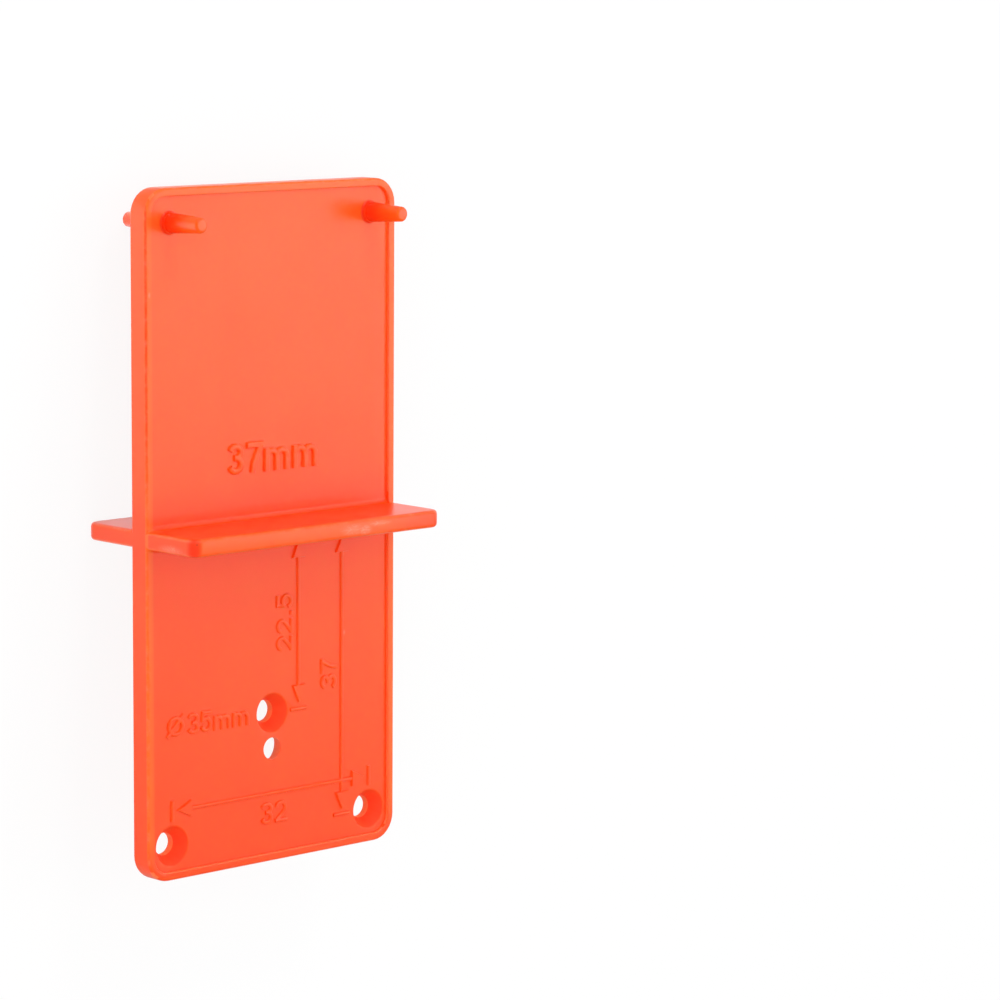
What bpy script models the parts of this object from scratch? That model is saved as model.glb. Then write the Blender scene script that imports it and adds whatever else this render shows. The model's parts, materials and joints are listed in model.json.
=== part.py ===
"""Hinge drilling jig: a plastic plate with a cross fence, locating pins and countersunk pilot holes.

The jig hooks its fence over the edge of a cabinet door or side. The pilot holes then mark where the
cup hole and the mounting plate screws of a concealed hinge go. It is one injection moulding, so the
plate, the fence and the pins are built as separate forms and united into a single solid.

The drawing frame lies flat: X runs across the plate, Y along it from the fence (Y = 0) towards the
pins, and Z up from the back face (Z = 0) to the front face. A parent empty then lays the finished
moulding down as it comes to rest, on the fence's back edge and the tips of the two back pins.
"""

import math

import bmesh
import bpy
from mathutils import Matrix, Vector

MM = 0.001

# Working distances, all measured from the fence face that touches the door or the cabinet side
SCREW_LINE = 37.0 * MM          # fence to the mounting plate screws, and to the pins
SCREW_PITCH = 32.0 * MM         # from one mounting plate screw to the other
CUP_LINE = 22.5 * MM            # fence to the middle of the cup hole
BACK_CUP_LINE = 27.0 * MM       # fence to the pilot that is entered from the back

# Plate
PLATE_WIDTH = 40.0 * MM
PLATE_THICKNESS = 3.0 * MM
END_MARGIN = 4.2 * MM           # from the screw line or the pin line to the plate's end
CORNER_RADIUS = 3.2 * MM
PLATE_EDGE = 0.3 * MM           # rounding of the plate's outer edges
RIM_WIDTH = 1.0 * MM
PANEL_DEPTH = 0.4 * MM          # how far the front panel lies below the rim

# Fence
FENCE_REACH = 8.9 * MM          # how far it stands out from the rim in front and from the back face
FENCE_THICKNESS = 2.2 * MM
FENCE_CORNER = 1.5 * MM         # its four corners, seen from above
FENCE_EDGE = 0.5 * MM
ROOT_FILLET = 0.6 * MM          # where the front panel runs into the fence
OUTER_FILLET = 0.3 * MM         # where the rim and the back face run into the fence

# Pins, one bar through the plate at each place
PIN_BASE_RADIUS = 1.25 * MM
PIN_TIP_RADIUS = 0.95 * MM
PIN_TIP_EDGE = 0.35 * MM
PIN_FRONT = 5.8 * MM            # above the rim
PIN_BACK = 5.4 * MM             # below the back face
PIN_FLARE = 0.25 * MM           # fillet at the foot of the pin

# Pilot holes
PILOT_RADIUS = 1.4 * MM
SINK_RADIUS = 2.5 * MM
PILOT_LAND = 0.9 * MM           # length of the round bore left below the cone
SINK_LIP = 0.18 * MM            # rounding of the cone's mouth

# Fineness of the round forms
CORNER_STEPS = 8
EDGE_STEPS = 3
ARC_STEPS = 5
ROUND_SIDES = 40

# Cutters reach this far past the faces that they open
CLEAR = 2.0 * MM

# Limits for telling edges and points apart
TOUCH = 0.1 * MM                # closer than this to a plane counts as in it
WELD = 0.002 * MM
SCREW_WELD = 0.01 * MM
PARALLEL = 0.999
CORNER_ANGLE = math.radians(60)
SMOOTH_ANGLE = math.radians(40)
FLAT_ANGLE = math.radians(0.3)

COLLECTION_NAME = "hinge_drilling_jig"
BODY_COLOUR = (1.0, 0.115, 0.035, 1.0)
BODY_ROUGHNESS = 0.34

HALF_FENCE = FENCE_THICKNESS / 2
SCREW_Y = HALF_FENCE + SCREW_LINE
PLATE_LENGTH = 2 * (SCREW_Y + END_MARGIN)
PANEL_Z = PLATE_THICKNESS - PANEL_DEPTH
FENCE_TOP = PLATE_THICKNESS + FENCE_REACH
FENCE_FOOT = -FENCE_REACH


def clear_scene():
    """Remove whatever the open file holds."""
    for item in list(bpy.data.objects):
        bpy.data.objects.remove(item, do_unlink=True)


def make_collection(name):
    collection = bpy.data.collections.new(name)
    bpy.context.scene.collection.children.link(collection)
    return collection


def make_material(name, colour, roughness, metallic):
    material = bpy.data.materials.new(name)
    material.use_nodes = True
    shader = material.node_tree.nodes["Principled BSDF"]
    shader.inputs["Base Color"].default_value = colour
    shader.inputs["Roughness"].default_value = roughness
    shader.inputs["Metallic"].default_value = metallic
    material.diffuse_color = colour
    return material


def new_object(name, collection):
    mesh = bpy.data.meshes.new(name)
    thing = bpy.data.objects.new(name, mesh)
    collection.objects.link(thing)
    return thing


def hide_tool(thing):
    """Mark an object as a form that only shapes the moulding."""
    thing.hide_render = True
    thing.display_type = "WIRE"


def extruded(outline, depth):
    """Return a bmesh prism: a closed outline of vectors, extruded along the depth vector."""
    form = bmesh.new()
    ring = [form.verts.new(point) for point in outline]
    base = form.faces.new(ring)
    swept = bmesh.ops.extrude_face_region(form, geom=[base])
    tops = [item for item in swept["geom"] if isinstance(item, bmesh.types.BMVert)]
    bmesh.ops.translate(form, verts=tops, vec=depth)
    bmesh.ops.recalc_face_normals(form, faces=form.faces)
    return form


def round_edges(form, chosen, radius, steps):
    """Round the chosen edges of a bmesh to an arc of the given radius."""
    bmesh.ops.bevel(form, geom=chosen, offset=radius, offset_type="OFFSET", segments=steps,
                    profile=0.5, affect="EDGES", clamp_overlap=True)


def arc(centre, radius, start, end, steps=ARC_STEPS):
    """Points of a flat arc as pairs, angles in degrees, both ends included."""
    points = []
    for step in range(steps + 1):
        angle = math.radians(start + (end - start) * step / steps)
        points.append((centre[0] + radius * math.cos(angle), centre[1] + radius * math.sin(angle)))
    return points


def runs_along(edge, axis):
    """True where an edge is parallel to a coordinate axis (0, 1 or 2)."""
    direction = (edge.verts[1].co - edge.verts[0].co).normalized()
    return abs(direction[axis]) > PARALLEL


def lies_on_fence(edge):
    """True where both ends of an edge lie within the fence's thickness."""
    return all(abs(vert.co.y) < HALF_FENCE + TOUCH for vert in edge.verts)


def build_cross(collection):
    """The plate and the fence as one extruded cross, with its corners and edges rounded."""
    half_width = PLATE_WIDTH / 2
    half_length = PLATE_LENGTH / 2
    quarter = [(HALF_FENCE, FENCE_TOP), (HALF_FENCE, PLATE_THICKNESS), (half_length, PLATE_THICKNESS)]
    low_quarter = [(half_length, 0.0), (HALF_FENCE, 0.0), (HALF_FENCE, FENCE_FOOT)]
    right_side = quarter + low_quarter
    left_side = [(-y, z) for y, z in reversed(right_side)]
    outline = [Vector((-half_width, y, z)) for y, z in right_side + left_side]
    form = extruded(outline, Vector((PLATE_WIDTH, 0.0, 0.0)))

    plate_corners = [edge for edge in form.edges
                     if runs_along(edge, 2) and abs(edge.verts[0].co.y) > half_length - TOUCH]
    round_edges(form, plate_corners, CORNER_RADIUS, CORNER_STEPS)
    fence_corners = [edge for edge in form.edges
                     if runs_along(edge, 1) and lies_on_fence(edge)]
    round_edges(form, fence_corners, FENCE_CORNER, CORNER_STEPS)

    weights = form.edges.layers.float.new("bevel_weight_edge")
    widest = max(FENCE_EDGE, PLATE_EDGE, OUTER_FILLET)
    for edge in form.edges:
        if edge.calc_face_angle(0.0) < CORNER_ANGLE:
            continue
        height = edge.verts[0].co.z
        in_root = runs_along(edge, 0) and min(abs(height), abs(height - PLATE_THICKNESS)) < TOUCH
        if lies_on_fence(edge) and in_root:
            edge[weights] = OUTER_FILLET / widest
        elif lies_on_fence(edge):
            edge[weights] = FENCE_EDGE / widest
        else:
            edge[weights] = PLATE_EDGE / widest

    body = new_object("jig_body", collection)
    form.to_mesh(body.data)
    form.free()
    rounding = body.modifiers.new("edge_rounding", "BEVEL")
    rounding.limit_method = "WEIGHT"
    rounding.width = widest
    rounding.segments = EDGE_STEPS
    rounding.miter_outer = "MITER_SHARP"
    rounding.use_clamp_overlap = True
    return body


def build_panel_cutter(name, side, collection):
    """The pocket that sinks one half of the front panel; side is +1 towards the pins, -1 away."""
    inner_x = PLATE_WIDTH / 2 - RIM_WIDTH
    outer_y = PLATE_LENGTH / 2 - RIM_WIDTH
    inner_radius = CORNER_RADIUS - RIM_WIDTH
    top_z = PLATE_THICKNESS + CLEAR
    fillet = arc((HALF_FENCE + ROOT_FILLET, PANEL_Z + ROOT_FILLET), ROOT_FILLET, 180, 270)
    profile = [(HALF_FENCE, top_z)] + fillet + [(outer_y, PANEL_Z), (outer_y, top_z)]
    outline = [Vector((-inner_x, side * y, z)) for y, z in profile]
    form = extruded(outline, Vector((2 * inner_x, 0.0, 0.0)))
    corners = [edge for edge in form.edges
               if runs_along(edge, 2) and abs(edge.verts[0].co.y) > outer_y - TOUCH]
    round_edges(form, corners, inner_radius, CORNER_STEPS)
    cutter = new_object(name, collection)
    form.to_mesh(cutter.data)
    form.free()
    hide_tool(cutter)
    return cutter


def build_turned(name, profile, collection):
    """A turned form about Z: a profile of (radius, z) pairs from its top to its bottom."""
    turned = new_object(name, collection)
    form = bmesh.new()
    points = [form.verts.new((radius, 0.0, z)) for radius, z in profile]
    for upper, lower in zip(points, points[1:]):
        form.edges.new((upper, lower))
    form.to_mesh(turned.data)
    form.free()
    screw = turned.modifiers.new("turn", "SCREW")
    screw.axis = "Z"
    screw.steps = ROUND_SIDES
    screw.render_steps = ROUND_SIDES
    screw.use_merge_vertices = True
    screw.merge_threshold = SCREW_WELD
    screw.use_smooth_shade = True
    hide_tool(turned)
    return turned


def pin_profile():
    """Half section of a double-ended pin: two rounded tips, two tapers and a flare at each face."""
    tip_z = PLATE_THICKNESS + PIN_FRONT
    foot_z = -PIN_BACK
    middle_z = PANEL_Z / 2
    flare_radius = PIN_BASE_RADIUS + PIN_FLARE
    top_arc = arc((PIN_TIP_RADIUS - PIN_TIP_EDGE, tip_z - PIN_TIP_EDGE), PIN_TIP_EDGE, 90, 0)
    low_arc = arc((PIN_TIP_RADIUS - PIN_TIP_EDGE, foot_z + PIN_TIP_EDGE), PIN_TIP_EDGE, 0, -90)
    top_flare = arc((flare_radius, PANEL_Z + PIN_FLARE), PIN_FLARE, 180, 270)
    low_flare = arc((flare_radius, -PIN_FLARE), PIN_FLARE, 90, 180)
    core = [(flare_radius, middle_z)]
    return [(0.0, tip_z)] + top_arc + top_flare + core + low_flare + low_arc + [(0.0, foot_z)]


def sink_profile():
    """Half section of the countersink cutter: a rounded mouth at the panel, a cone and a bore."""
    cone_depth = PANEL_Z - PILOT_LAND
    half_angle = math.degrees(math.atan2(SINK_RADIUS - PILOT_RADIUS, cone_depth))
    lip_turn = 90 - half_angle
    lip_reach = SINK_LIP * math.tan(math.radians(lip_turn / 2))
    lip = arc((SINK_RADIUS + lip_reach, PANEL_Z - SINK_LIP), SINK_LIP, 90, 180 - half_angle)
    above = [(0.0, PLATE_THICKNESS + CLEAR), (SINK_RADIUS + lip_reach, PLATE_THICKNESS + CLEAR)]
    below = [(PILOT_RADIUS, PILOT_LAND), (PILOT_RADIUS, -CLEAR), (0.0, -CLEAR)]
    return above + lip + below


def back_sink_profile():
    """The same cutter entered from the back: its bore opens at the panel and its cone at the back."""
    flipped = [(radius, PANEL_Z - z) for radius, z in sink_profile()]
    return list(reversed(flipped))


def place(thing, x, y):
    thing.location = (x, y, 0.0)


def add_boolean(body, tool, operation):
    step = body.modifiers.new(tool.name, "BOOLEAN")
    step.operation = operation
    step.solver = "EXACT"
    step.object = tool


def bake(thing):
    """Replace an object's mesh by what its modifiers make of it, and drop the modifiers."""
    bpy.context.view_layer.update()
    evaluated = thing.evaluated_get(bpy.context.evaluated_depsgraph_get())
    baked = bpy.data.meshes.new_from_object(evaluated)
    baked.name = thing.name
    thing.modifiers.clear()
    thing.data = baked


def tidy_surface(thing):
    """Merge the flat faces that the cuts divided, and shade the rounded ones smooth."""
    form = bmesh.new()
    form.from_mesh(thing.data)
    bmesh.ops.remove_doubles(form, verts=form.verts, dist=WELD)
    bmesh.ops.dissolve_limit(form, angle_limit=FLAT_ANGLE, verts=form.verts, edges=form.edges,
                             use_dissolve_boundaries=False)
    form.to_mesh(thing.data)
    form.free()
    thing.data.shade_smooth()
    thing.data.set_sharp_from_angle(angle=SMOOTH_ANGLE)


def resting_matrix(body):
    """Lay the moulding on its fence and its back pins, with the box's bottom centre at the origin."""
    points = [vert.co for vert in body.data.vertices]
    fence_end = [point for point in points if point.z < FENCE_FOOT + FENCE_EDGE]
    pin_tips = [point for point in points
                if point.z < PIN_TIP_EDGE - PIN_BACK and point.y > SCREW_Y - PIN_BASE_RADIUS]
    slope = max(min((tip.z - foot.z) / (tip.y - foot.y) for tip in pin_tips) for foot in fence_end)
    tilt = Matrix.Rotation(-math.atan(slope), 4, "X")
    turned = [tilt @ point for point in points]
    lowest = min(point.z for point in turned)
    middle_y = (min(point.y for point in turned) + max(point.y for point in turned)) / 2
    return Matrix.Translation((0.0, -middle_y, -lowest)) @ tilt


def build_jig():
    parts = make_collection(COLLECTION_NAME)
    tools = make_collection(COLLECTION_NAME + "_tools")
    body = build_cross(parts)

    for name, side in (("pin_panel_pocket", 1), ("hole_panel_pocket", -1)):
        add_boolean(body, build_panel_cutter(name, side, tools), "DIFFERENCE")

    for name, x in (("left_pin", -SCREW_PITCH / 2), ("right_pin", SCREW_PITCH / 2)):
        pin = build_turned(name, pin_profile(), tools)
        place(pin, x, SCREW_Y)
        add_boolean(body, pin, "UNION")

    front_holes = (("left_screw_sink", -SCREW_PITCH / 2, -SCREW_Y),
                   ("right_screw_sink", SCREW_PITCH / 2, -SCREW_Y),
                   ("cup_sink", 0.0, -HALF_FENCE - CUP_LINE))
    for name, x, y in front_holes:
        sink = build_turned(name, sink_profile(), tools)
        place(sink, x, y)
        add_boolean(body, sink, "DIFFERENCE")
    back_sink = build_turned("back_cup_sink", back_sink_profile(), tools)
    place(back_sink, 0.0, -HALF_FENCE - BACK_CUP_LINE)
    add_boolean(body, back_sink, "DIFFERENCE")

    bake(body)
    tidy_surface(body)
    body.data.materials.clear()
    body.data.materials.append(make_material("orange_plastic", BODY_COLOUR, BODY_ROUGHNESS, 0.0))

    rest = bpy.data.objects.new("resting_place", None)
    rest.empty_display_size = PLATE_WIDTH / 2
    parts.objects.link(rest)
    rest.matrix_world = resting_matrix(body)
    body.parent = rest


clear_scene()
build_jig()
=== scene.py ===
"""Looks of the hinge drilling jig: one moulding in orange-red plastic, lying on a pale floor."""

import json
import math

import bmesh
import bpy
from mathutils import Matrix, Vector

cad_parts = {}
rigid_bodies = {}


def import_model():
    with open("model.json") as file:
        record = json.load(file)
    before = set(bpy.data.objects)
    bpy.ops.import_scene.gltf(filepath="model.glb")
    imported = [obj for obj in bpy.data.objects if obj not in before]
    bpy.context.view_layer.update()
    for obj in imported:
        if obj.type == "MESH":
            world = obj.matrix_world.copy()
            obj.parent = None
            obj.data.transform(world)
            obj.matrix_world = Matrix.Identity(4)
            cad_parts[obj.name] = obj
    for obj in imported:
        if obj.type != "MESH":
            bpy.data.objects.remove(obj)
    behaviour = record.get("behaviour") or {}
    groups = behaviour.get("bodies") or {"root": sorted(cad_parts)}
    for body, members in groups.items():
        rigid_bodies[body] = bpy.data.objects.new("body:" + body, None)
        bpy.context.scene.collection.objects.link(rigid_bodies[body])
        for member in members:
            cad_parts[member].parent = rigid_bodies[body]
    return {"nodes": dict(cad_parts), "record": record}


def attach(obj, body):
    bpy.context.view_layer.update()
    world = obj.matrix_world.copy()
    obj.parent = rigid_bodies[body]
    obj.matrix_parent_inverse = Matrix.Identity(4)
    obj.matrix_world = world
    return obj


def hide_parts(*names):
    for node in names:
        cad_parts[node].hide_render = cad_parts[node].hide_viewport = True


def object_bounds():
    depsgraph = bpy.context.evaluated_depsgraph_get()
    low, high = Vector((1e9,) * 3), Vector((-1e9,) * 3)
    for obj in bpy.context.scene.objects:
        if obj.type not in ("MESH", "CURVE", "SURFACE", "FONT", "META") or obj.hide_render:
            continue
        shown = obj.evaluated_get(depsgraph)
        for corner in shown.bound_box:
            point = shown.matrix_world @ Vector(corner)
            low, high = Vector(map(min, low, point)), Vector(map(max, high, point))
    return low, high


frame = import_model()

cad_low, cad_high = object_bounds()

# How the jig lies: it was drawn flat, with X across the plate, Y along it towards the pins and Z out of its
# front, and then laid on its fence and back pins. The mounts in the record give that place back, so the
# looks are shaped on the flat drawing and laid down at the end.
MM = 0.001
mounts = {mount["name"]: mount for mount in frame["record"]["mounts"]}
along = Vector(mounts["fence_pin_side"]["axis"]).normalized()
outward = Vector(mounts["front_rim"]["axis"]).normalized()
across = along.cross(outward)
pin_side = along.dot(Vector(mounts["fence_pin_side"]["pos_m"]))
hole_side = along.dot(Vector(mounts["fence_hole_side"]["pos_m"]))
back_height = outward.dot(Vector(mounts["back_face"]["pos_m"]))
rim_height = outward.dot(Vector(mounts["front_rim"]["pos_m"]))
drawing_origin = along * (pin_side + hole_side) / 2 + outward * back_height
laid = Matrix.Translation(drawing_origin) @ Matrix((across, along, outward)).transposed().to_4x4()


# The moulding: plate, rim, fence, pins and countersinks come out of the mould together as one skin of
# orange-red plastic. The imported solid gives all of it; the wall inside the rim, which leaves the mould with
# a draught and soft arrises, is eased here.
WELD_WITHIN = 0.002 * MM
FLAT_WITHIN = math.radians(0.3)
SQUARE_EDGE = math.radians(60)
PANEL_DEPTH = 0.4 * MM
RIM_ARRIS = 0.1 * MM
WALL_FOOT = 0.24 * MM
RIM_REACH = 1.8 * MM
BEVEL_STEPS = 3
half_fence = (pin_side - hole_side) / 2
rim_z = rim_height - back_height
panel_z = rim_z - PANEL_DEPTH


def only(thing):
    """Leave one object selected and active."""
    bpy.ops.object.select_all(action="DESELECT")
    thing.select_set(True)
    bpy.context.view_layer.objects.active = thing


def ease_pocket(thing, height, width):
    """Round the square edges of the pocket inside the rim that lie at one height of the drawing."""
    only(thing)
    corner = Vector([max(abs(vert.co[axis]) for vert in thing.data.vertices) for axis in (0, 1)])
    bpy.ops.object.mode_set(mode="EDIT")
    form = bmesh.from_edit_mesh(thing.data)
    for edge in form.edges:
        level = all(abs(vert.co.z - height) < WELD_WITHIN for vert in edge.verts)
        by_rim = all(corner.x - abs(vert.co.x) < RIM_REACH or corner.y - abs(vert.co.y) < RIM_REACH
                     for vert in edge.verts)
        clear = all(abs(vert.co.y) > 2 * half_fence for vert in edge.verts)
        edge.select_set(level and by_rim and clear and edge.calc_face_angle(0.0) > SQUARE_EDGE)
    bmesh.update_edit_mesh(thing.data)
    bpy.ops.mesh.bevel(offset=width, segments=BEVEL_STEPS, affect="EDGES", clamp_overlap=True)
    bpy.ops.mesh.select_all(action="DESELECT")
    bpy.ops.object.mode_set(mode="OBJECT")


jig = bpy.data.objects.new("moulded_jig", frame["nodes"]["jig_body"].data.copy())
bpy.context.scene.collection.objects.link(jig)
jig.data.transform(laid.inverted())
only(jig)
bpy.ops.mesh.customdata_custom_splitnormals_clear()
bpy.ops.object.mode_set(mode="EDIT")
bpy.ops.mesh.select_all(action="SELECT")
bpy.ops.mesh.remove_doubles(threshold=WELD_WITHIN)
bpy.ops.mesh.dissolve_limited(angle_limit=FLAT_WITHIN)
bpy.ops.mesh.select_all(action="DESELECT")
bpy.ops.object.mode_set(mode="OBJECT")
pin_tip = max(vert.co.z for vert in jig.data.vertices if abs(vert.co.y) > 2 * half_fence)
ease_pocket(jig, rim_z, RIM_ARRIS)
ease_pocket(jig, panel_z, WALL_FOOT)


# The raised figures and lines: they stand proud of the sunk panel and below the rim, and were cut into the
# mould as strokes with sloping sides. Each stroke is a path that an eased section is swept along.
BOLD_PEN = 0.7 * MM
BOLD_HEIGHT = 0.34 * MM
FIGURE_PEN = 0.46 * MM
LINE_PEN = 0.4 * MM
LOW_HEIGHT = 0.22 * MM
SUNK = 0.15 * MM
GROWTH = 0.008
GROWTH_STEPS = 5
strokes = bpy.data.collections.new("strokes")
bpy.context.scene.collection.children.link(strokes)


def stroke_section(width, height):
    """The section that a stroke is swept with: sloping sides, eased shoulders and a foot in the panel."""
    half = width / 2
    side = ((half + 0.08 * MM, -SUNK), (half + 0.05 * MM, 0.0), (half + 0.01 * MM, 0.6 * height),
            (half - 0.03 * MM, 0.87 * height), (half - 0.1 * MM, height))
    profile = [(-outwards, up) for outwards, up in side] + list(reversed(side))
    curve = bpy.data.curves.new("stroke_section", "CURVE")
    curve.dimensions = "2D"
    ring = curve.splines.new("POLY")
    ring.points.add(len(profile) - 1)
    for point, (sideways, up) in zip(ring.points, profile):
        point.co = (sideways, up, 0.0, 1.0)
    ring.use_cyclic_u = True
    section = bpy.data.objects.new("stroke_section", curve)
    bpy.context.scene.collection.objects.link(section)
    return section


def stroke(path, section, closed=False):
    """Sweep a stroke along points of the panel. Crossing strokes differ a hair in size, to join cleanly."""
    curve = bpy.data.curves.new("stroke", "CURVE")
    curve.dimensions = "3D"
    curve.twist_mode = "Z_UP"
    curve.bevel_mode = "OBJECT"
    curve.bevel_object = section
    curve.use_fill_caps = True
    line = curve.splines.new("POLY")
    line.points.add(len(path) - 1)
    for point, (x, y) in zip(line.points, path):
        point.co = (x, y, panel_z, 1.0)
        point.radius = 1.0 + GROWTH * (len(strokes.objects) % GROWTH_STEPS)
    line.use_cyclic_u = closed
    thing = bpy.data.objects.new("stroke", curve)
    strokes.objects.link(thing)


def bow(centre_x, centre_y, radius_x, radius_y, start, end, steps=10):
    """Points of an oval arc, angles in degrees."""
    angles = [math.radians(start + (end - start) * step / steps) for step in range(steps + 1)]
    return [(centre_x + radius_x * math.cos(angle), centre_y + radius_y * math.sin(angle))
            for angle in angles]


def three(width, height, pen):
    """Two bowls, the lower one larger, that meet in a short shelf."""
    half = (width - pen) / 2
    waist = 0.53 * height
    upper = (height - pen / 2 - waist) / 2
    lower = (waist - pen / 2) / 2
    shelf = (0.42 * width, waist)
    return [bow(width / 2, waist + upper, half * 0.95, upper, 165, -88) + [shelf],
            [shelf] + bow(width / 2, pen / 2 + lower, half, lower, 88, -165)]


def seven(width, height, pen):
    """A bar and a bent leg."""
    top = height - pen / 2
    return [[(0.0, top), (width, top)],
            [(width - 0.62 * pen, top), (0.62 * width, 0.62 * height), (0.42 * width, 0.3 * height),
             (0.34 * width, 0.0)]]


def two(width, height, pen):
    """A neck that runs down to a bar."""
    bowl = (height - pen) * 0.3
    neck = bow(width / 2, height - pen / 2 - bowl, (width - pen) / 2, bowl, 172, -28)
    return [neck + [(0.55 * width, 0.34 * height), (0.62 * pen, 0.62 * pen)],
            [(0.0, pen / 2), (width, pen / 2)]]


def five(width, height, pen):
    """A bar, a short leaning stem and a bowl."""
    top = height - pen / 2
    bowl = (0.64 * height - pen / 2) / 2
    return [[(0.2 * width, top), (0.95 * width, top)],
            [(0.26 * width, height), (0.13 * width + pen / 4, 0.5 * height)],
            bow(width / 2, pen / 2 + bowl, (width - pen) / 2, bowl, 150, -165, 12)]


def small_m(width, height, pen):
    """Three stems and two arches."""
    gap = (width - pen) / 2
    spring = height - pen / 2 - gap / 2
    paths = [[(pen / 2, 0.0), (pen / 2, height)]]
    for stem in (1, 2):
        arch = bow(pen / 2 + gap * (stem - 0.5), spring, gap / 2, gap / 2, 170, 0, 8)
        paths.append(arch + [(pen / 2 + gap * stem, 0.0)])
    return paths


def decimal_point(width, height, pen):
    """A stroke as short as it is wide."""
    return [[(0.0, height / 2), (width, height / 2)]]


def write(figures, section, pen, baseline, turned=False):
    """Write figures along a baseline. Each is its form, then its start, width and height in millimetres."""
    for form, start, width, height in figures:
        for path in form(width * MM, height * MM, pen):
            if turned:
                placed = [(baseline - up, start * MM + right) for right, up in path]
            else:
                placed = [(start * MM + right, baseline + up) for right, up in path]
            stroke(placed, section)


bold = stroke_section(BOLD_PEN, BOLD_HEIGHT)
plain = stroke_section(FIGURE_PEN, LOW_HEIGHT)
thin = stroke_section(LINE_PEN, LOW_HEIGHT)
write(((three, -7.15, 2.5, 3.8), (seven, -4.1, 2.65, 3.8), (small_m, -1.3, 3.95, 2.85),
       (small_m, 3.28, 3.98, 2.85)), bold, BOLD_PEN, 6.85 * MM)
write(((two, -16.0, 1.85, 2.65), (two, -13.8, 1.85, 2.65), (decimal_point, -11.5, 0.5, 0.5),
       (five, -10.7, 1.9, 2.65)), plain, FIGURE_PEN, 3.3 * MM, turned=True)
write(((three, -21.75, 1.9, 2.6), (seven, -19.65, 1.9, 2.6)), plain, FIGURE_PEN, 10.5 * MM, turned=True)
write(((three, -13.6, 1.85, 2.65), (five, -11.6, 1.85, 2.65), (small_m, -9.45, 2.65, 1.85),
       (small_m, -6.45, 2.65, 1.85)), plain, FIGURE_PEN, -24.6 * MM)
write(((three, -1.95, 1.95, 2.75), (two, 0.4, 1.9, 2.7)), plain, FIGURE_PEN, -37.6 * MM)

# the diameter sign: a ring with a slash through it
stroke(bow(-15.4 * MM, -23.3 * MM, 1.05 * MM, 1.0 * MM, 0, 345, 23), plain, closed=True)
stroke([(-16.75 * MM, -24.55 * MM), (-14.15 * MM, -21.95 * MM)], plain)

# dimension lines, their end ticks and their arrowheads
SCREW_PITCH = 32.0 * MM
PITCH_Y = -33.75 * MM
CUP_X = 4.25 * MM
CUP_Y = -half_fence - 22.5 * MM
SCREW_X = 11.4 * MM
SCREW_Y = -half_fence - 37.0 * MM
TICK = 1.3 * MM
HEAD_HALF = 1.15 * MM
HEAD_HEIGHT = 0.31 * MM
HEAD_TOP = 0.84


def arrowhead(tip, pointing, length):
    """A flat triangular head with sloping sides, its point at tip."""
    turn = math.atan2(pointing[1], pointing[0])
    bpy.ops.object.select_all(action="DESELECT")
    bpy.ops.mesh.primitive_cone_add(vertices=3, radius1=1.0, radius2=HEAD_TOP, depth=HEAD_HEIGHT + SUNK)
    head = bpy.context.object
    stretch = Matrix.Diagonal((HEAD_HALF / math.sin(math.pi / 3), length / 1.5, 1.0, 1.0))
    facing = Matrix.Rotation(turn - math.pi / 2, 4, "Z")
    middle = Vector((*tip, panel_z + (HEAD_HEIGHT - SUNK) / 2)) - Vector((*pointing, 0.0)) * length * 2 / 3
    head.data.transform(Matrix.Translation(middle) @ facing @ stretch)
    for collection in head.users_collection:
        collection.objects.unlink(head)
    strokes.objects.link(head)


stroke([(CUP_X, -3.2 * MM), (CUP_X, CUP_Y + 1.8 * MM)], thin)
arrowhead((CUP_X, -1.9 * MM), (0, 1), 2.6 * MM)
arrowhead((CUP_X, CUP_Y + 0.65 * MM), (0, -1), 2.5 * MM)
stroke([(CUP_X - TICK, CUP_Y), (CUP_X + TICK, CUP_Y)], thin)

stroke([(SCREW_X, -3.4 * MM), (SCREW_X, SCREW_Y + 1.8 * MM)], thin)
arrowhead((SCREW_X, -2.2 * MM), (0, 1), 2.3 * MM)
arrowhead((SCREW_X, SCREW_Y + 0.5 * MM), (0, -1), 2.5 * MM)
stroke([(SCREW_X - TICK, SCREW_Y), (SCREW_X + TICK, SCREW_Y)], thin)

stroke([(-SCREW_PITCH / 2 + 2.0 * MM, PITCH_Y), (SCREW_PITCH / 2 - 2.0 * MM, PITCH_Y)], thin)
for side in (-1, 1):
    hole_x = side * SCREW_PITCH / 2
    arrowhead((hole_x - side * 0.65 * MM, PITCH_Y), (side, 0), 2.35 * MM)
    stroke([(hole_x, PITCH_Y - TICK), (hole_x, PITCH_Y + TICK)], thin)

# the strokes become closed shells, which are then united with the panel one by one
bpy.ops.object.select_all(action="DESELECT")
for thing in strokes.objects:
    thing.select_set(True)
bpy.context.view_layer.objects.active = strokes.objects[0]
bpy.ops.object.convert(target="MESH")
bpy.ops.object.mode_set(mode="EDIT")
bpy.ops.mesh.select_all(action="SELECT")
bpy.ops.mesh.remove_doubles(threshold=WELD_WITHIN)
bpy.ops.mesh.normals_make_consistent(inside=False)
bpy.ops.object.mode_set(mode="OBJECT")
for section in (bold, plain, thin):
    bpy.data.objects.remove(section, do_unlink=True)

only(jig)
bpy.ops.object.mode_set(mode="EDIT")
bpy.ops.mesh.select_all(action="SELECT")
bpy.ops.mesh.quads_convert_to_tris(quad_method="BEAUTY", ngon_method="BEAUTY")
bpy.ops.object.mode_set(mode="OBJECT")
for thing in list(strokes.objects):
    raising = jig.modifiers.new("stroke_on_panel", "BOOLEAN")
    raising.operation = "UNION"
    raising.solver = "EXACT"
    raising.object = thing
    bpy.ops.object.modifier_apply(modifier=raising.name)
    bpy.data.objects.remove(thing, do_unlink=True)
bpy.data.collections.remove(strokes)

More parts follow.
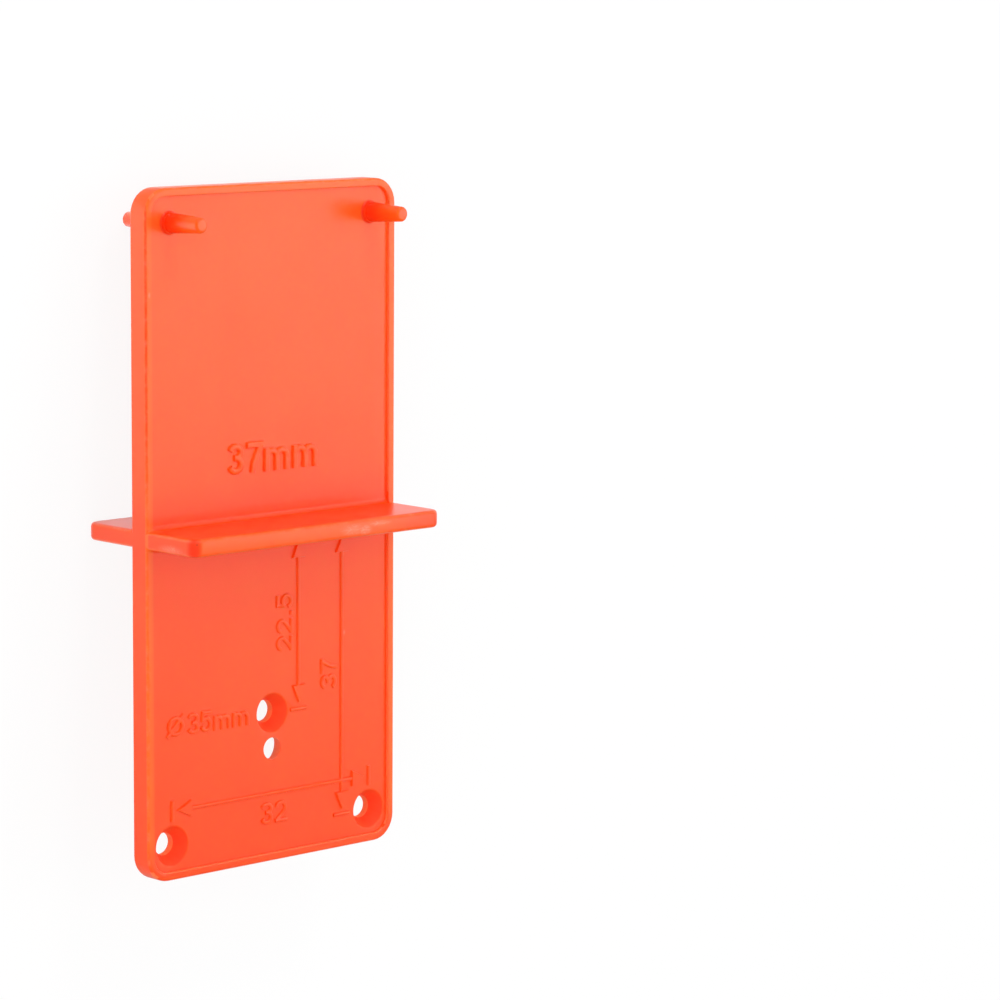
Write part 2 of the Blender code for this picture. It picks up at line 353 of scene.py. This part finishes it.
# the flat panel meets the marks at a crease, and its own face stays flat
PANEL_CREASE = math.radians(22)
SMOOTH_WITHIN = math.radians(38)
EVEN_WEIGHT = 100
bpy.ops.object.mode_set(mode="EDIT")
bpy.ops.mesh.select_all(action="SELECT")
bpy.ops.mesh.remove_doubles(threshold=WELD_WITHIN)
bpy.ops.mesh.dissolve_degenerate(threshold=WELD_WITHIN)
bpy.ops.mesh.delete_loose(use_verts=True, use_edges=True, use_faces=False)
bpy.ops.mesh.select_all(action="DESELECT")
bpy.ops.object.mode_set(mode="OBJECT")
form = bmesh.new()
form.from_mesh(jig.data)
for edge in form.edges:
    on_panel = [all(abs(vert.co.z - panel_z) < WELD_WITHIN for vert in face.verts)
                for face in edge.link_faces]
    if any(on_panel) and not all(on_panel) and edge.calc_face_angle(0.0) > PANEL_CREASE:
        edge.smooth = False
form.to_mesh(jig.data)
form.free()

jig.data.transform(laid)
only(jig)
bpy.ops.object.shade_smooth_by_angle(angle=SMOOTH_WITHIN)
evening = jig.modifiers.new("even_faces", "WEIGHTED_NORMAL")
evening.weight = EVEN_WEIGHT
evening.keep_sharp = True
bpy.ops.object.modifier_apply(modifier=evening.name)


# The plastic: orange-red pigment that flowed in from the middle of the plate, a satin skin from a
# spark-finished mould, arrises rubbed a little paler by use, and a few scuffs on the fence. Light and shade
# are painted into its colour as well: paler towards the pin end, on thin edges, on the pocket's wall and in
# the lands, deeper by the fence, on the pins, round their feet, at the fence's corner and in the cones.
# the first two span the plastic's random tone and the painted light and shade laid on it; the next four are
# painted highlight, painted light, painted shade on the arrises and painted shade; the last two are wear and
# dirt
ORANGE_DEEP = (1.0, 0.070, 0.006, 1.0)
ORANGE_PALE = (1.0, 0.118, 0.010, 1.0)
EDGE_HIGHLIGHT_ORANGE = (1.0, 0.148, 0.014, 1.0)
PAINTED_LIGHT_ORANGE = (1.0, 0.19, 0.06, 1.0)
ARRIS_SHADE_ORANGE = (0.9, 0.068, 0.006, 1.0)
SHADE_ORANGE = (0.92, 0.036, 0.004, 1.0)
RUBBED = (1.0, 0.36, 0.24, 1.0)
GRIT = (0.35, 0.03, 0.01, 1.0)


def new_group(name, inputs, outputs):
    """A shader group with named sockets; each is a name, a kind and, for an input, its value."""
    group = bpy.data.node_groups.new(name, "ShaderNodeTree")
    for socket, kind, value in inputs:
        made = group.interface.new_socket(socket, in_out="INPUT", socket_type="NodeSocket" + kind)
        made.default_value = value
    for socket, kind in outputs:
        group.interface.new_socket(socket, in_out="OUTPUT", socket_type="NodeSocket" + kind)
    return group, group.nodes.new("NodeGroupInput"), group.nodes.new("NodeGroupOutput")


def put(tree, kind, settings=None, **values):
    """Add a node; settings are its properties, values fill or link its inputs by name or number."""
    node = tree.nodes.new("ShaderNode" + kind)
    for name, value in (settings or {}).items():
        setattr(node, name, value)
    for name, value in values.items():
        socket = node.inputs[int(name[1:])] if name[1:].isdigit() else node.inputs[name.replace("_", " ")]
        if isinstance(value, bpy.types.NodeSocket):
            tree.links.new(value, socket)
        else:
            socket.default_value = value
    return node


def work_out(tree, operation, first, second=0.0, third=0.0):
    """The result of one Math node."""
    return put(tree, "Math", {"operation": operation}, _0=first, _1=second, _2=third).outputs[0]


def times(tree, first, second):
    """Where both masks hold, or a mask made weaker by a number."""
    return work_out(tree, "MULTIPLY", first, second)


def either(tree, first, second):
    """Where one mask or the other holds, the stronger of the two."""
    return work_out(tree, "MAXIMUM", first, second)


def outside(tree, mask):
    """Where a mask doesn't hold."""
    return work_out(tree, "SUBTRACT", 1.0, mask)


def eased(tree, value, start, end, low=0.0, high=1.0):
    """Go smoothly from low at start to high at end, and stay level beyond them."""
    return put(tree, "MapRange", {"interpolation_type": "SMOOTHSTEP"}, Value=value, From_Min=start,
               From_Max=end, To_Min=low, To_Max=high).outputs[0]


def sloped(tree, value, start, end, low=0.0, high=1.0):
    """Go in a straight line from low at start to high at end, and stay level beyond them."""
    return put(tree, "MapRange", Value=value, From_Min=start, From_Max=end, To_Min=low,
               To_Max=high).outputs[0]


def vector_step(tree, operation, first, second=(0.0, 0.0, 0.0)):
    """One Vector Math node."""
    return put(tree, "VectorMath", {"operation": operation}, _0=first, _1=second)


# arris_mask: near an edge of a box that the surface fills, two of the three distances to its faces are small
arris_group, given, result = new_group(
    "arris_mask",
    (("Place", "Vector", (0.0, 0.0, 0.0)), ("Middle", "Vector", (0.0, 0.0, 0.0)),
     ("Half Size", "Vector", (1.0, 1.0, 1.0)), ("Reach", "Float", 0.5 * MM)),
    (("Mask", "Float"), ("Inset", "Float")))
OUT_OF_BOX = -0.05 * MM
tree = arris_group
offset = vector_step(tree, "SUBTRACT", given.outputs["Place"], given.outputs["Middle"])
reach_out = vector_step(tree, "ABSOLUTE", offset.outputs[0])
inset = vector_step(tree, "SUBTRACT", given.outputs["Half Size"], reach_out.outputs[0])
split = put(tree, "SeparateXYZ", _0=inset.outputs[0])
least = work_out(tree, "MINIMUM", split.outputs[0], split.outputs[1])
most = either(tree, split.outputs[0], split.outputs[1])
second_least = either(tree, least, work_out(tree, "MINIMUM", most, split.outputs[2]))
within = work_out(tree, "GREATER_THAN", work_out(tree, "MINIMUM", least, split.outputs[2]), OUT_OF_BOX)
fade = eased(tree, second_least, 0.0, given.outputs["Reach"], 1.0, 0.0)
tree.links.new(times(tree, fade, within), result.inputs["Mask"])
tree.links.new(least, result.inputs["Inset"])

# scuff_mask: scratches inside a patch round a point, as the thin ridges of a drawn-out noise
scuff_group, given, result = new_group(
    "scuff_mask",
    (("Place", "Vector", (0.0, 0.0, 0.0)), ("Middle", "Vector", (0.0, 0.0, 0.0)),
     ("Half Size", "Vector", (MM, MM, MM)), ("Grain", "Float", 1500.0), ("Width", "Float", 0.05)),
    (("Mask", "Float"),))
SCRATCH_RUN = (0.5, 1.3, 1.0)
SCRATCH_SHARE = 0.5
HAZE_SHARE = 0.4
tree = scuff_group
offset = vector_step(tree, "SUBTRACT", given.outputs["Place"], given.outputs["Middle"])
shrunk = vector_step(tree, "DIVIDE", offset.outputs[0], given.outputs["Half Size"])
far = vector_step(tree, "LENGTH", shrunk.outputs[0])
drawn_out = vector_step(tree, "MULTIPLY", offset.outputs[0], SCRATCH_RUN)
grain = put(tree, "TexNoise", Vector=drawn_out.outputs[0], Scale=given.outputs["Grain"], Detail=1.5,
            Roughness=0.6)
patch = eased(tree, far.outputs["Value"], 0.1, 1.0, 1.0, 0.0)
ridge = work_out(tree, "ABSOLUTE", work_out(tree, "SUBTRACT", grain.outputs["Fac"], 0.5))
scratch = eased(tree, ridge, 0.0, given.outputs["Width"], 1.0, 0.0)
bloom = work_out(tree, "MULTIPLY_ADD", scratch, SCRATCH_SHARE, HAZE_SHARE)
tree.links.new(times(tree, bloom, patch), result.inputs["Mask"])

# moulded_skin: slow pigment flow with a painted light gradient along the plate, the fine grain of the mould,
# and the slight waves of cooling plastic
skin_group, given, result = new_group(
    "moulded_skin",
    (("Place", "Vector", (0.0, 0.0, 0.0)), ("Flow Size", "Float", 90.0), ("Grain Size", "Float", 1800.0),
     ("Sheen Low", "Float", 0.285), ("Sheen High", "Float", 0.325)),
    (("Tone And Light", "Float"), ("Roughness", "Float"), ("Height", "Float")))
FLOW_RUN = (1.0, 0.45, 1.0)
FLOW_SHARE = 0.8
DRIFT_SHARE = 0.78
DRIFT_FROM = -42 * MM
DRIFT_TO = 36 * MM
tree = skin_group
lengthened = vector_step(tree, "MULTIPLY", given.outputs["Place"], FLOW_RUN)
flow = put(tree, "TexNoise", Vector=lengthened.outputs[0], Scale=given.outputs["Flow Size"], Detail=4.0,
           Roughness=0.55, Distortion=0.6)
speckle = put(tree, "TexNoise", Vector=given.outputs["Place"], Scale=given.outputs["Grain Size"],
              Detail=2.0, Roughness=0.6)
waves = put(tree, "TexNoise", Vector=given.outputs["Place"], Scale=260.0, Detail=1.0, Roughness=0.4)
tint = work_out(tree, "MULTIPLY_ADD", flow.outputs["Fac"], FLOW_SHARE,
                times(tree, speckle.outputs["Fac"], 1.0 - FLOW_SHARE))
spread = sloped(tree, tint, 0.32, 0.68)
lengthwise = put(tree, "SeparateXYZ", _0=given.outputs["Place"])
# painted light: the tone is paler towards the pin end, where more light falls, and deeper towards the hole
# end
painted_light_drift = sloped(tree, lengthwise.outputs[1], DRIFT_FROM, DRIFT_TO)
tree.links.new(work_out(tree, "MULTIPLY_ADD", spread, 1.0 - DRIFT_SHARE, times(tree, painted_light_drift, DRIFT_SHARE)),
               result.inputs["Tone And Light"])
satin = sloped(tree, waves.outputs["Fac"], 0.3, 0.7, given.outputs["Sheen Low"], given.outputs["Sheen High"])
tree.links.new(satin, result.inputs["Roughness"])
tree.links.new(waves.outputs["Fac"], result.inputs["Height"])

plastic = bpy.data.materials.new("orange_plastic")
plastic.use_nodes = True
tree = plastic.node_tree
shader = tree.nodes["Principled BSDF"]
shader.inputs["IOR"].default_value = 1.5
shader.inputs["Subsurface Weight"].default_value = 0.7
shader.inputs["Subsurface Radius"].default_value = (1.0, 0.15, 0.05)
shader.inputs["Subsurface Scale"].default_value = 2.0 * MM
here = put(tree, "TexCoord")
drawn = put(tree, "Mapping", {"vector_type": "TEXTURE"}, Vector=here.outputs["Object"],
            Location=laid.to_translation(), Rotation=laid.to_euler())


def place_group(group, **values):
    """Place a group on the flat drawing's coordinates."""
    node = put(tree, "Group", {"node_tree": group})
    tree.links.new(drawn.outputs["Vector"], node.inputs["Place"])
    for name, value in values.items():
        node.inputs[name.replace("_", " ")].default_value = value
    return node


def laid_over(under, over, mask):
    """One colour laid over another where a mask holds."""
    return put(tree, "Mix", {"data_type": "RGBA"}, Factor=mask, _6=under, _7=over).outputs[2]


# where a point lies on the drawing, and whether that is on the plate, the fence or a pin
PLATE_REACH = 42.3 * MM
FENCE_REACH = 8.9 * MM
ARRIS_REACH = 0.5 * MM
PROUD = 0.2 * MM
fence_front = FENCE_REACH + rim_z
plate_half = cad_high[0]
middle_depth = rim_z / 2
skin = place_group(skin_group)
plate_arris = place_group(arris_group, Middle=(0.0, 0.0, middle_depth), Reach=ARRIS_REACH,
                          Half_Size=(plate_half, PLATE_REACH, middle_depth))
fence_arris = place_group(arris_group, Middle=(0.0, 0.0, middle_depth), Reach=ARRIS_REACH,
                          Half_Size=(plate_half, half_fence, FENCE_REACH + middle_depth))
seat = put(tree, "SeparateXYZ", _0=drawn.outputs["Vector"])
seat_x, seat_y, seat_z = seat.outputs
from_middle_x = work_out(tree, "ABSOLUTE", seat_x)
from_middle_y = work_out(tree, "ABSOLUTE", seat_y)
from_middle_z = work_out(tree, "ABSOLUTE", work_out(tree, "SUBTRACT", seat_z, middle_depth))
clear_of_plate = work_out(tree, "GREATER_THAN", from_middle_z, middle_depth + PROUD)
clear_of_fence = outside(tree, work_out(tree, "LESS_THAN", from_middle_y, half_fence + PROUD))
in_front = work_out(tree, "GREATER_THAN", seat_z, middle_depth)
pin_skin = times(tree, clear_of_plate, clear_of_fence)

# painted highlight: edges are painted paler where light catches them: the rim all round, less at the hole
# end, the arrises of the fence, and the fence's front face, less towards the right
RIM_BAND = (0.3 * MM, 1.5 * MM)
RIM_LEVEL = 0.3 * MM
in_band = eased(tree, plate_arris.outputs["Inset"], *RIM_BAND, 1.0, 0.0)
rim_highlight = times(tree, in_band, work_out(tree, "COMPARE", seat_z, rim_z, RIM_LEVEL))
short_of_end = eased(tree, seat_y, 0.8 * MM - PLATE_REACH, 6.0 * MM - PLATE_REACH, 0.1, 0.9)
to_right = eased(tree, seat_x, 8 * MM, 19 * MM, 0.55, 0.1)
front_highlight = sloped(tree, seat_z, fence_front - 0.9 * MM, fence_front - 0.1 * MM, 0.0, to_right)
plate_edge = times(tree, plate_arris.outputs["Mask"], clear_of_fence)
fence_edge = times(tree, fence_arris.outputs["Mask"], clear_of_plate)
edges = either(tree, times(tree, rim_highlight, short_of_end),
               either(tree, times(tree, front_highlight, clear_of_plate), times(tree, fence_edge, 0.8)))

# wear: every arris is rubbed here and there, the fence's front and left end are scuffed, the rim and the
# panel each have a pale nick, and two dark specks sit on the fence's corner. Each scuff is its middle, its
# half size, how fine it is, how wide its scratches are and how strong it is.
wear_grain = put(tree, "TexNoise", Vector=drawn.outputs["Vector"], Scale=700.0, Detail=4.0, Roughness=0.65)
worn_here = eased(tree, wear_grain.outputs["Fac"], 0.42, 0.75)
rubbed = times(tree, either(tree, plate_edge, fence_edge), times(tree, worn_here, 0.3))
for middle, half, grain, width, strength in (
        ((5.2 * MM, 0.0, fence_front), (2.6 * MM, 0.85 * MM, MM), 1300.0, 0.05, 0.7),
        ((7.2 * MM, -0.2 * MM, fence_front), (1.3 * MM, 0.8 * MM, MM), 1500.0, 0.11, 0.8),
        ((9.6 * MM, 0.4 * MM, fence_front), (2.4 * MM, 0.45 * MM, MM), 1300.0, 0.07, 0.7),
        ((-20.0 * MM, -0.5 * MM, 7.6 * MM), (MM, 0.7 * MM, 2.9 * MM), 1400.0, 0.05, 0.7),
        ((-19.4 * MM, 29.6 * MM, 3.0 * MM), (0.25 * MM, 0.55 * MM, 0.4 * MM), 400.0, 0.3, 0.4),
        ((11.9 * MM, -14.8 * MM, panel_z), (0.28 * MM, 0.55 * MM, 0.5 * MM), 400.0, 0.2, 0.35)):
    scuff = place_group(scuff_group, Middle=middle, Half_Size=half, Grain=grain, Width=width)
    rubbed = either(tree, rubbed, times(tree, scuff.outputs["Mask"], strength))
specks = place_group(scuff_group, Middle=(-19.35 * MM, 0.5 * MM, 11.8 * MM), Grain=400.0, Width=0.3,
                     Half_Size=(0.32 * MM, 0.22 * MM, 0.32 * MM))

# painted shade: the colour is deeper by the fence, where its shadow and reflection fall on the panel
fence_shade = eased(tree, from_middle_y, half_fence, 7.0 * MM, 0.2, 1.0)
shaded_pigment = laid_over(ORANGE_DEEP, ORANGE_PALE, times(tree, skin.outputs["Tone And Light"], fence_shade))

# painted shade: the colour is deepest on the front pins up towards their tips, round their feet, and at the
# fence's front left corner
DEEPEST = 0.9
FOOT = (1.3 * MM, 1.62 * MM)
CORNER = (0.7 * MM, 1.5 * MM)
corner_axis = put(tree, "CombineXYZ", _0=work_out(tree, "ADD", seat_x, plate_half),
                  _2=work_out(tree, "SUBTRACT", seat_z, fence_front))
corner_shade = eased(tree, vector_step(tree, "LENGTH", corner_axis.outputs[0]).outputs["Value"],
                  *CORNER, DEEPEST, 0.0)
short_of_tip = eased(tree, seat_z, rim_z + 0.5 * MM, pin_tip - 0.7 * MM, 1.0, 0.0)
pin_shade = times(tree, pin_skin, times(tree, short_of_tip, in_front))
from_pin = put(tree, "CombineXYZ", _0=work_out(tree, "SUBTRACT", from_middle_x, SCREW_PITCH / 2),
               _1=work_out(tree, "ADD", seat_y, SCREW_Y))
foot_shade = eased(tree, vector_step(tree, "LENGTH", from_pin.outputs[0]).outputs["Value"],
                *FOOT, DEEPEST, 0.0)
low_foot_shade = times(tree, times(tree, foot_shade, in_front), outside(tree, clear_of_plate))
with_shade = laid_over(shaded_pigment, SHADE_ORANGE, either(tree, pin_shade, either(tree, corner_shade, low_foot_shade)))
# painted highlight on the edges, kept off the painted shade at the fence's corner
edge_lit = laid_over(with_shade, EDGE_HIGHLIGHT_ORANGE, times(tree, edges, outside(tree, corner_shade)))

# painted light: the pocket's steep wall is painted paler to lift its shade, away from the fence's root
WALL_IN = 1.1 * MM
WALL_MARGIN = 0.35 * MM
END_MARGIN = 0.4 * MM
ROOT_REACH = 1.4 * MM
wall_middle = (panel_z + rim_z) / 2
long_wall = times(tree, work_out(tree, "COMPARE", from_middle_x, plate_half - WALL_IN, WALL_MARGIN),
                  work_out(tree, "COMPARE", seat_z, wall_middle, 0.17 * MM))
end_wall = times(tree, work_out(tree, "COMPARE", seat_y, WALL_IN - PLATE_REACH, END_MARGIN),
                 work_out(tree, "COMPARE", seat_z, wall_middle, 0.19 * MM))
off_root = work_out(tree, "GREATER_THAN", from_middle_y, half_fence + ROOT_REACH)
wall_lit = laid_over(edge_lit, PAINTED_LIGHT_ORANGE, times(tree, either(tree, long_wall, end_wall), off_root))

# painted shade: the plate's long front arrises get a fine darker line in the pin half, a painted reflection
# of the dark end of the room
ARRIS_LINE = (0.12 * MM, 0.34 * MM)
PIN_HALF_FROM = 15 * MM
from_arris = either(tree, work_out(tree, "SUBTRACT", plate_half, from_middle_x),
                    work_out(tree, "ABSOLUTE", work_out(tree, "SUBTRACT", seat_z, rim_z)))
arris_shade_line = eased(tree, from_arris, *ARRIS_LINE, 0.85, 0.0)
pin_half = eased(tree, seat_y, half_fence, PIN_HALF_FROM)
arris_shaded = laid_over(wall_lit, ARRIS_SHADE_ORANGE, times(tree, arris_shade_line, pin_half))

# in the drilled-through holes the cones get painted shade and the short straight lands painted light,
# both less glossy
PILOT_LAND = 0.9 * MM
BACK_CUP_Y = -half_fence - 27.0 * MM
BACK_CUP_REACH = 1.6 * MM
HOLE_INSET = 1.4 * MM
CONE_DEPTH = 0.45
in_hole = times(tree, work_out(tree, "GREATER_THAN", plate_arris.outputs["Inset"], HOLE_INSET),
                work_out(tree, "COMPARE", seat_z, panel_z / 2, panel_z / 2 - 0.1 * MM))
on_land = times(tree, in_hole, either(tree, work_out(tree, "LESS_THAN", seat_z, PILOT_LAND + 0.05 * MM),
                                      work_out(tree, "COMPARE", seat_y, BACK_CUP_Y, BACK_CUP_REACH)))
on_cone = work_out(tree, "SUBTRACT", in_hole, on_land)
cone_shaded = laid_over(arris_shaded, SHADE_ORANGE, times(tree, on_cone, CONE_DEPTH))
land_lit = laid_over(cone_shaded, PAINTED_LIGHT_ORANGE, on_land)

# wear lies on top of the rest, and it dulls and lowers the skin
HOLE_DULLER = 0.3
PIN_SHINIER = -0.1
WEAR_DULLER = 0.25
WEAR_LOWER = -0.4
worn = laid_over(laid_over(land_lit, RUBBED, rubbed), GRIT, specks.outputs["Mask"])
tree.links.new(worn, shader.inputs["Base Color"])
sheen = work_out(tree, "MULTIPLY_ADD", in_hole, HOLE_DULLER,
                 work_out(tree, "MULTIPLY_ADD", pin_skin, PIN_SHINIER, skin.outputs["Roughness"]))
tree.links.new(work_out(tree, "MULTIPLY_ADD", rubbed, WEAR_DULLER, sheen), shader.inputs["Roughness"])
relief = put(tree, "Bump", Strength=0.5, Distance=0.02 * MM,
             Height=work_out(tree, "MULTIPLY_ADD", rubbed, WEAR_LOWER, skin.outputs["Height"]))
tree.links.new(relief.outputs["Normal"], shader.inputs["Normal"])

jig.data.materials.clear()
jig.data.materials.append(plastic)
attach(jig, "root")
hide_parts("jig_body")


# The floor: a plain white sheet that the jig lies on. It keeps the soft shadow. In the plastic's gloss it
# glows as a painted light, above white towards the pin end and dimmer towards the hole end and past the
# pins, which paints graded reflections onto the plastic.
FLOOR_SIZE = 6.0
FLOOR_WHITE = (0.92, 0.92, 0.92, 1.0)
FLOOR_GLOW = 0.9
bpy.ops.object.select_all(action="DESELECT")
bpy.ops.mesh.primitive_plane_add(size=FLOOR_SIZE, location=(0.0, 0.0, 0.0))
floor = bpy.context.object
floor.name = "floor"
sheet = bpy.data.materials.new("floor_sheet")
sheet.use_nodes = True
tree = sheet.node_tree
matt = tree.nodes["Principled BSDF"]
matt.inputs["Base Color"].default_value = FLOOR_WHITE
matt.inputs["Roughness"].default_value = 0.9
matt.inputs["Specular IOR Level"].default_value = 0.1
path = put(tree, "LightPath")
seen = either(tree, path.outputs["Is Camera Ray"], path.outputs["Is Transmission Ray"])
here = put(tree, "TexCoord")
split = put(tree, "SeparateXYZ", _0=here.outputs["Object"])
gloss_glow_towards_pins = sloped(tree, split.outputs[1], -50 * MM, 36 * MM, 0.48, 1.42)
gloss_glow_past_pins = eased(tree, split.outputs[1], 40 * MM, 47 * MM, 1.0, 0.2)
level = put(tree, "Mix", {"data_type": "FLOAT"}, _0=path.outputs["Is Glossy Ray"], _2=1.0,
            _3=times(tree, gloss_glow_towards_pins, gloss_glow_past_pins))
glow = put(tree, "Emission", Color=(1.0, 1.0, 1.0, 1.0), Strength=level.outputs[0])
blend = put(tree, "MixShader", _1=matt.outputs["BSDF"], _2=glow.outputs["Emission"],
            _0=either(tree, path.outputs["Is Glossy Ray"], times(tree, seen, FLOOR_GLOW)))
tree.links.new(blend.outputs["Shader"], tree.nodes["Material Output"].inputs["Surface"])
floor.data.materials.append(sheet)


# Studio light: a white surround that falls off towards the photographer's end of the room, a softbox that
# the front face mirrors, a soft lamp beyond the pin end and a fill from the left.
TOWARDS_ROOM = (-0.68, 0.20, 0.70)
AMBIENT = 0.8
world = bpy.data.worlds.new("studio")
bpy.context.scene.world = world
world.use_nodes = True
tree = world.node_tree
backdrop = tree.nodes["Background"]
backdrop.inputs["Color"].default_value = (1.0, 1.0, 1.0, 1.0)
heading = put(tree, "TexCoord")
roomward = vector_step(tree, "DOT_PRODUCT", heading.outputs["Generated"], TOWARDS_ROOM)
room_end = eased(tree, roomward.outputs["Value"], -0.3, 0.4, 1.0, 0.06)
split = put(tree, "SeparateXYZ", _0=heading.outputs["Generated"])
low_end = eased(tree, split.outputs[1], -0.6, 0.1, 0.05, 1.0)
path = put(tree, "LightPath")
lit = put(tree, "Mix", {"data_type": "FLOAT"}, _0=path.outputs["Is Glossy Ray"], _2=AMBIENT,
          _3=times(tree, room_end, low_end))
seen = either(tree, path.outputs["Is Camera Ray"], path.outputs["Is Transmission Ray"])
tree.links.new(either(tree, seen, lit.outputs[0]), backdrop.inputs["Strength"])


def lamp(name, place, size, power, mirrored=True):
    """A square soft lamp that faces the jig; a fill is not mirrored in the gloss."""
    light = bpy.data.lights.new(name, "AREA")
    light.size = size
    light.energy = power
    thing = bpy.data.objects.new(name, light)
    thing.location = place
    thing.rotation_euler = (-Vector(place)).to_track_quat("-Z", "Y").to_euler()
    thing.visible_glossy = mirrored
    bpy.context.scene.collection.objects.link(thing)


lamp("softbox", (0.64, 0.14, 0.755), 0.48, 1.35)
lamp("pin_end_lamp", (0.0, 0.62, 0.45), 0.16, 1.1)
lamp("left_fill", (-0.75, 0.10, 0.6), 0.6, 2.35, mirrored=False)


# The camera stands where the photographer's did, to the left of the plate and in front of its face, as
# worked out from the outline, the holes and the marked distances.
IMAGE_SIZE = 1000
FOCAL_PIXELS = 3984.9
view_position = Vector((-0.315056, 0.105950, 0.376242))
view_right = Vector((0.72598078, 0.0697253, 0.68417117))
view_up = Vector((0.09105288, 0.97634359, -0.19611829))
view_back = view_right.cross(view_up)
camera_data = bpy.data.cameras.new("camera")
camera_data.sensor_width = 36.0
camera_data.lens = camera_data.sensor_width * FOCAL_PIXELS / IMAGE_SIZE
camera_data.clip_start = 0.01
camera_data.clip_end = 20.0
camera = bpy.data.objects.new("camera", camera_data)
bpy.context.scene.collection.objects.link(camera)
turned = Matrix((view_right, view_up, view_back)).transposed().to_4x4()
camera.matrix_world = Matrix.Translation(view_position) @ turned
bpy.context.scene.camera = camera
bpy.context.scene.view_settings.view_transform = "Standard"
